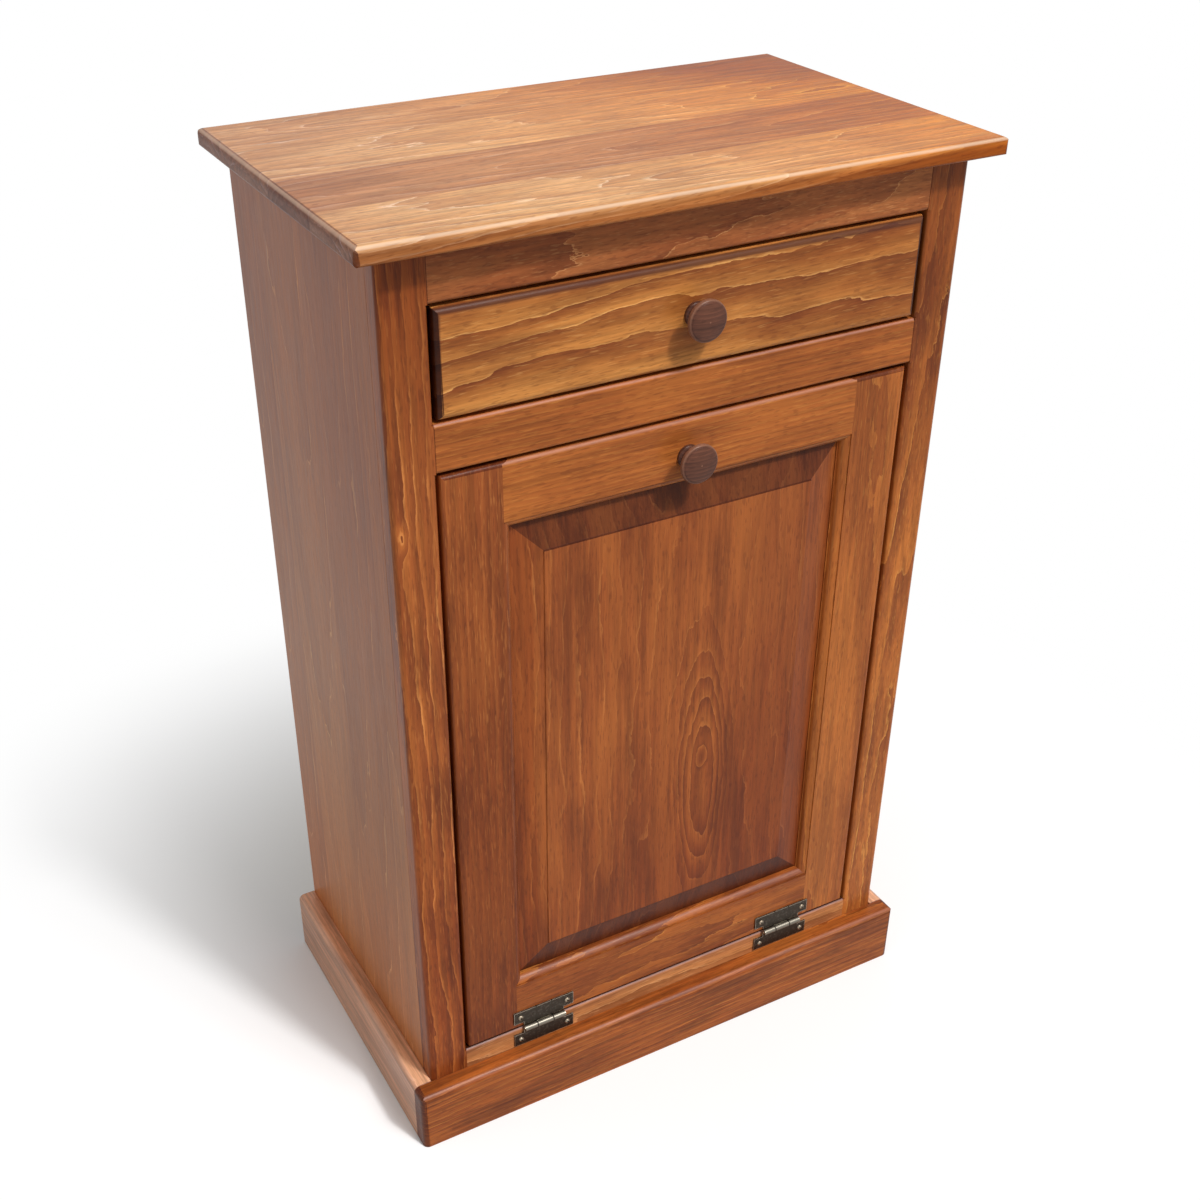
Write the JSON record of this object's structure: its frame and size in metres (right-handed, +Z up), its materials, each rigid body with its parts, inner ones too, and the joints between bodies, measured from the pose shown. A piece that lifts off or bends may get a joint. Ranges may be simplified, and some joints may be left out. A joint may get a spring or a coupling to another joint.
{
  "type": "trash can cabinet",
  "caption": "Stained pine tilt-out bin cabinet with a drawer over a raised panel door that tips forward on two surface hinges with the bin carrier behind it.",
  "frame": {"origin": "middle of the footprint box on the floor, under the base", "axes": "+Z up, the door and drawer face -Y, +X runs along the width, to the right of a person who faces the door"},
  "size_m": [0.549, 0.335, 0.866],
  "materials": {
    "stained_pine": "pine, red-brown stain under semi-gloss varnish",
    "bare_pine": "planed pine, unfinished",
    "plywood": "plywood, unfinished",
    "dark_wood": "turned hardwood, dark stain under varnish",
    "antique_brass": "antique finish, darkened, rubbed bright on the edges",
    "zinc_steel": "zinc plated steel",
    "white_plastic": "moulded nylon"
  },
  "bodies": {
    "cabinet": {"top_board": "stained_pine", "left_side": "stained_pine", "right_side": "stained_pine", "back_panel": "plywood", "floor_panel": "plywood", "left_stile": "stained_pine", "right_stile": "stained_pine", "top_rail": "stained_pine", "mid_rail": "stained_pine", "low_rail": "stained_pine", "base_front": "stained_pine", "base_left": "stained_pine", "base_right": "stained_pine", "back_stretcher": "bare_pine", "glue_blocks": "bare_pine", "front_top_cleat": "bare_pine", "back_top_cleat": "bare_pine", "top_screws": "zinc_steel", "left_runner": "bare_pine", "right_runner": "bare_pine", "left_guide": "bare_pine", "right_guide": "bare_pine", "left_kicker": "bare_pine", "right_kicker": "bare_pine", "drawer_stops": "bare_pine", "door_stop": "bare_pine", "catch_housing": "white_plastic", "left_hinge_lower_leaf": "antique_brass", "right_hinge_lower_leaf": "antique_brass", "left_hinge_pin": "antique_brass", "right_hinge_pin": "antique_brass", "frame_hinge_screws": "antique_brass"},
    "drawer": {"drawer_front": "stained_pine", "drawer_left_side": "bare_pine", "drawer_right_side": "bare_pine", "drawer_back": "bare_pine", "drawer_bottom": "plywood", "drawer_knob": "dark_wood", "drawer_knob_screw": "zinc_steel"},
    "tilt_door": {"door_left_stile": "stained_pine", "door_right_stile": "stained_pine", "door_top_rail": "stained_pine", "door_low_rail": "stained_pine", "door_panel": "stained_pine", "door_knob": "dark_wood", "door_knob_screw": "zinc_steel", "left_hinge_upper_leaf": "antique_brass", "right_hinge_upper_leaf": "antique_brass", "door_hinge_screws": "antique_brass", "strike_plate": "zinc_steel", "carrier_left_side": "bare_pine", "carrier_right_side": "bare_pine", "carrier_floor": "plywood", "carrier_low_rail": "bare_pine", "carrier_stop_rail": "bare_pine", "carrier_cleats": "bare_pine"}
  },
  "joints": [
    {"name": "drawer_slide", "type": "slide", "parent": "cabinet", "child": "drawer", "axis": [0, -1, 0], "range_m": [0, 0.2]},
    {"name": "door_tilt", "type": "hinge", "parent": "cabinet", "child": "tilt_door", "pos_m": [0, -0.1477, 0.08925], "axis": [1, 0, 0], "range_deg": [0, 35.1]}
  ]
}
